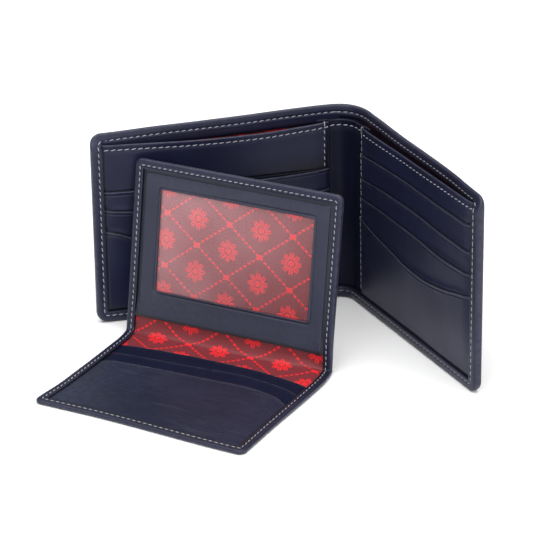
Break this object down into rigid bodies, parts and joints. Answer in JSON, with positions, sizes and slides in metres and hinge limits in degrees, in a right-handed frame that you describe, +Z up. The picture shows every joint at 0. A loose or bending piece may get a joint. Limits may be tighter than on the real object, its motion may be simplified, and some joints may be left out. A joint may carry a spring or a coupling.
{
  "type": "leather billfold wallet",
  "caption": "Two-leaf leather billfold with card pockets and a lined bill compartment, and a separate folding pass case with a clear window.",
  "frame": {"origin": "middle of the footprint, on the surface the billfold and its pass case stand on", "axes": "+X along the left leaf towards the spine, +Y towards the back of the left leaf, +Z up"},
  "size_m": [0.1796, 0.1449, 0.0865],
  "materials": {
    "outer_hide": "smooth satin navy calf",
    "panel_leather": "smooth satin navy calf",
    "pocket_leather": "smooth pared navy calf",
    "lining": "woven satin, red figure on maroon",
    "clear_film": "clear flexible film",
    "thread": "waxed light grey thread"
  },
  "bodies": {
    "left_leaf": {"left_cover": "outer_hide", "left_turned_edge": "outer_hide", "left_bill_lining": "lining", "left_panel_lining": "lining", "left_inner_panel": "panel_leather", "left_pass_pocket": "pocket_leather", "left_card_pocket_upper": "pocket_leather", "left_card_pocket_lower": "pocket_leather", "left_stitching": "thread"},
    "spine": {"spine_cover": "outer_hide", "spine_bill_lining": "lining", "spine_gusset": "panel_leather", "spine_stitching": "thread"},
    "right_leaf": {"right_cover": "outer_hide", "right_turned_edge": "outer_hide", "right_bill_lining": "lining", "right_panel_lining": "lining", "right_inner_panel": "panel_leather", "right_card_pocket_1": "pocket_leather", "right_card_pocket_2": "pocket_leather", "right_card_pocket_3": "pocket_leather", "right_card_pocket_4": "pocket_leather", "right_stitching": "thread"},
    "case_base": {"case_base_cover": "outer_hide", "case_fold_cover": "outer_hide", "case_fold_lining": "lining", "case_base_lining": "lining", "case_pocket_back": "pocket_leather", "case_pocket_middle": "pocket_leather", "case_pocket_front": "pocket_leather", "case_base_stitching": "thread"},
    "case_lid": {"case_lid_cover": "outer_hide", "case_lid_lining": "lining", "case_clear_window": "clear_film", "case_window_frame": "panel_leather", "case_lid_stitching": "thread"}
  },
  "joints": [
    {"name": "billfold_fold", "type": "hinge", "parent": "left_leaf", "child": "spine", "pos_m": [0.05424, 0.06055, 0], "axis": [0, 0, 1], "range_deg": [-51.75, 38.25]},
    {"name": "second_crease", "type": "hinge", "parent": "spine", "child": "right_leaf", "pos_m": [0.06164, 0.05472, 0], "axis": [0, 0, 1], "range_deg": [-51.8, 38.3]},
    {"name": "pass_case_aside", "type": "slide", "parent": "left_leaf", "child": "case_base", "axis": [1, 0, 0], "range_m": [-0.1192, 0.0882]},
    {"name": "pass_case_fold", "type": "hinge", "parent": "case_base", "child": "case_lid", "pos_m": [-0.0416, 0.04745, 0.004], "axis": [0.7593, -0.6508, 0], "range_deg": [0, 99.5]}
  ],
  "couplings": [
    {"joint": "second_crease", "follows": "billfold_fold", "ratio": 1},
    {"joint": "pass_case_aside", "follows": "billfold_fold", "m_per_rad": 0.13178}
  ]
}
